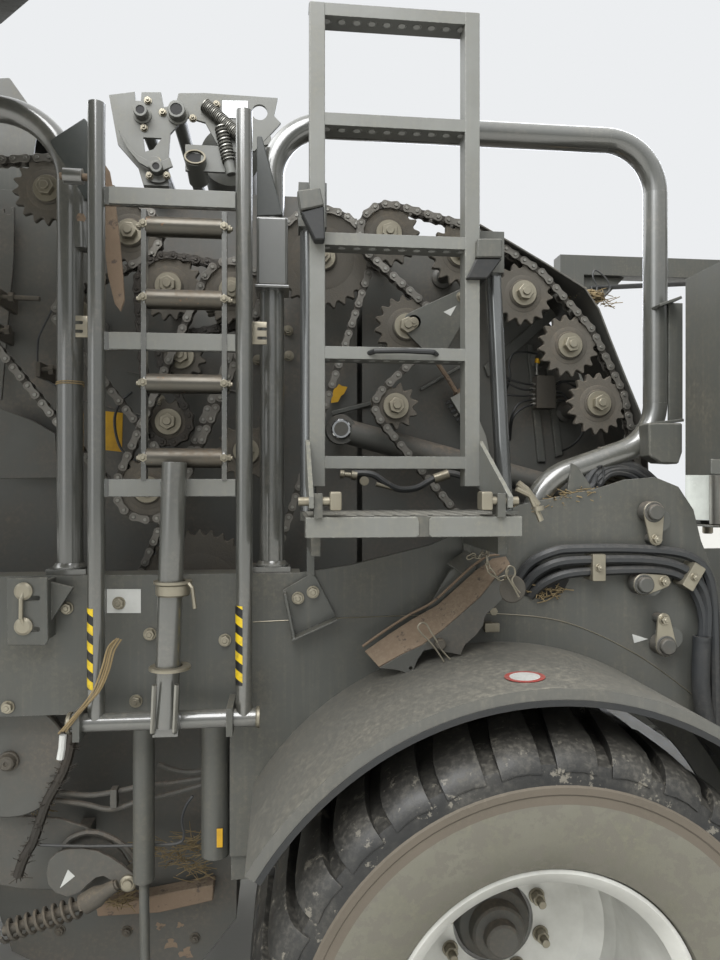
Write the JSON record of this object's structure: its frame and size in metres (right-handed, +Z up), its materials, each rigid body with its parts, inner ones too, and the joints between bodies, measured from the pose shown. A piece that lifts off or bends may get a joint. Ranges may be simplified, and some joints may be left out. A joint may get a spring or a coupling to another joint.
{
  "type": "round baler with bale wrapper",
  "caption": "Trailed round baler with a bale wrapper on a tandem axle, its side hoods open over the chain drives, with a ladder and a roll lift on the left.",
  "frame": {"origin": "on the ground, below the middle of the machine's length and width", "axes": "+X to the machine's rear, +Y to its right, +Z up"},
  "size_m": [7.5998, 4.5298, 3.16],
  "materials": {
    "painted_steel": "satin anthracite paint, dusty",
    "worn_steel": "worn and lightly rusted",
    "greasy_steel": "greasy and dusty",
    "chain_steel": "oiled",
    "rim_paint": "silver paint",
    "tyre": "matt, dusty",
    "belt": "matt",
    "film": "stretched film on a roll",
    "lamp_red": "gloss",
    "rusty_steel": "rusted"
  },
  "bodies": {
    "machine": {"side_frames": "painted_steel", "rear_frame": "painted_steel", "drawbar": "painted_steel", "bogie_beams": "painted_steel", "fenders": "painted_steel", "chamber_walls": "painted_steel", "chamber_rollers": "worn_steel", "front_sprockets": "greasy_steel", "front_chains": "chain_steel", "gearbox": "painted_steel", "front_cover": "painted_steel", "net_unit": "painted_steel", "guard_hoops": "painted_steel", "platform": "painted_steel", "film_boxes": "painted_steel", "wrap_mast": "painted_steel", "lamp_bar": "painted_steel", "lamps": "lamp_red", "feeder_housing": "painted_steel", "lift_gear": "painted_steel", "wheel_chock": "rusty_steel"},
    "wheel_fl": {"tyre_fl": "tyre", "rim_fl": "rim_paint"},
    "wheel_fr": {"tyre_fr": "tyre", "rim_fr": "rim_paint"},
    "wheel_rl": {"tyre_rl": "tyre", "rim_rl": "rim_paint"},
    "wheel_rr": {"tyre_rr": "tyre", "rim_rr": "rim_paint"},
    "jack": {"jack": "painted_steel"},
    "tailgate": {"tailgate": "painted_steel", "tailgate_rollers": "worn_steel", "tailgate_sprockets": "greasy_steel", "tailgate_chains": "chain_steel"},
    "barrel_left": {"barrel_left": "painted_steel"},
    "rod_left": {"rod_left": "worn_steel"},
    "barrel_right": {"barrel_right": "painted_steel"},
    "rod_right": {"rod_right": "worn_steel"},
    "hood_left": {"hood_left": "painted_steel"},
    "hood_right": {"hood_right": "painted_steel"},
    "ladder": {"ladder": "painted_steel"},
    "roll_lift": {"roll_lift": "painted_steel"},
    "pickup": {"pickup_frame": "painted_steel"},
    "reel": {"pickup_reel": "worn_steel"},
    "gauge_wheel_left": {"gauge_wheel_left": "tyre"},
    "gauge_wheel_right": {"gauge_wheel_right": "tyre"},
    "feed_rotor": {"feed_rotor": "worn_steel"},
    "wrap_table": {"wrap_table": "painted_steel", "table_belts": "belt"},
    "wrap_arm": {"wrap_arm": "painted_steel", "film_rolls": "film"}
  },
  "joints": [
    {"name": "wheel_fl_spin", "type": "hinge", "parent": "machine", "child": "wheel_fl", "pos_m": [0.57, -1.135, 0.655], "axis": [0, 1, 0], "continuous": true},
    {"name": "wheel_fr_spin", "type": "hinge", "parent": "machine", "child": "wheel_fr", "pos_m": [0.57, 1.135, 0.655], "axis": [0, 1, 0], "continuous": true},
    {"name": "wheel_rl_spin", "type": "hinge", "parent": "machine", "child": "wheel_rl", "pos_m": [2, -1.135, 0.655], "axis": [0, 1, 0], "continuous": true},
    {"name": "wheel_rr_spin", "type": "hinge", "parent": "machine", "child": "wheel_rr", "pos_m": [2, 1.135, 0.655], "axis": [0, 1, 0], "continuous": true},
    {"name": "jack_swing", "type": "hinge", "parent": "machine", "child": "jack", "pos_m": [-3, -0.23, 0.95], "axis": [0, -1, 0], "range_deg": [0, 90]},
    {"name": "tailgate_hinge", "type": "hinge", "parent": "machine", "child": "tailgate", "pos_m": [0.235, 0, 2.64], "axis": [0, -1, 0], "range_deg": [0, 70]},
    {"name": "barrel_left_swing", "type": "hinge", "parent": "machine", "child": "barrel_left", "pos_m": [0.171, -0.75, 2.019], "axis": [0, -1, 0], "range_deg": [-1, 59.09]},
    {"name": "rod_left_slide", "type": "slide", "parent": "barrel_left", "child": "rod_left", "axis": [0.9676, 0, -0.2527], "range_m": [-0.002, 0.6854]},
    {"name": "barrel_right_swing", "type": "hinge", "parent": "machine", "child": "barrel_right", "pos_m": [0.171, 0.75, 2.019], "axis": [0, -1, 0], "range_deg": [-1, 59.09]},
    {"name": "rod_right_slide", "type": "slide", "parent": "barrel_right", "child": "rod_right", "axis": [0.9676, 0, -0.2527], "range_m": [-0.002, 0.6854]},
    {"name": "hood_left_hinge", "type": "hinge", "parent": "machine", "child": "hood_left", "pos_m": [-1.2, -0.98, 3.015], "axis": [1, 0, 0], "range_deg": [-7, 68]},
    {"name": "hood_right_hinge", "type": "hinge", "parent": "machine", "child": "hood_right", "pos_m": [-1.2, 0.98, 3.015], "axis": [-1, 0, 0], "range_deg": [-7, 68]},
    {"name": "ladder_swing", "type": "hinge", "parent": "machine", "child": "ladder", "pos_m": [0.272, -1.42, 1.815], "axis": [1, 0, 0], "range_deg": [0, 180]},
    {"name": "roll_lift_swing", "type": "hinge", "parent": "machine", "child": "roll_lift", "pos_m": [-0.28, -1.122, 1.265], "axis": [1, 0, 0], "range_deg": [0, 100]},
    {"name": "pickup_lift", "type": "hinge", "parent": "machine", "child": "pickup", "pos_m": [-1, 0, 0.95], "axis": [0, 1, 0], "range_deg": [0, 16]},
    {"name": "reel_spin", "type": "hinge", "parent": "pickup", "child": "reel", "pos_m": [-1.4, 0, 0.35], "axis": [0, 1, 0], "continuous": true},
    {"name": "gauge_wheel_left_spin", "type": "hinge", "parent": "pickup", "child": "gauge_wheel_left", "pos_m": [-1.13, -1.165, 0.2], "axis": [0, 1, 0], "continuous": true},
    {"name": "gauge_wheel_right_spin", "type": "hinge", "parent": "pickup", "child": "gauge_wheel_right", "pos_m": [-1.13, 1.165, 0.2], "axis": [0, 1, 0], "continuous": true},
    {"name": "rotor_spin", "type": "hinge", "parent": "machine", "child": "feed_rotor", "pos_m": [-0.728, 0, 1.115], "axis": [0, 1, 0], "continuous": true},
    {"name": "table_tilt", "type": "hinge", "parent": "machine", "child": "wrap_table", "pos_m": [3.35, 0, 0.9], "axis": [0, 1, 0], "range_deg": [0, 45]},
    {"name": "wrap_arm_spin", "type": "hinge", "parent": "machine", "child": "wrap_arm", "pos_m": [2.75, 0, 2.95], "axis": [0, 0, 1], "continuous": true}
  ],
  "couplings": [
    {"joint": "barrel_left_swing", "follows": "tailgate_hinge", "ratio": 0.8298},
    {"joint": "rod_left_slide", "follows": "tailgate_hinge", "m_per_rad": 0.55279},
    {"joint": "barrel_right_swing", "follows": "tailgate_hinge", "ratio": 0.8298},
    {"joint": "rod_right_slide", "follows": "tailgate_hinge", "m_per_rad": 0.55279}
  ]
}
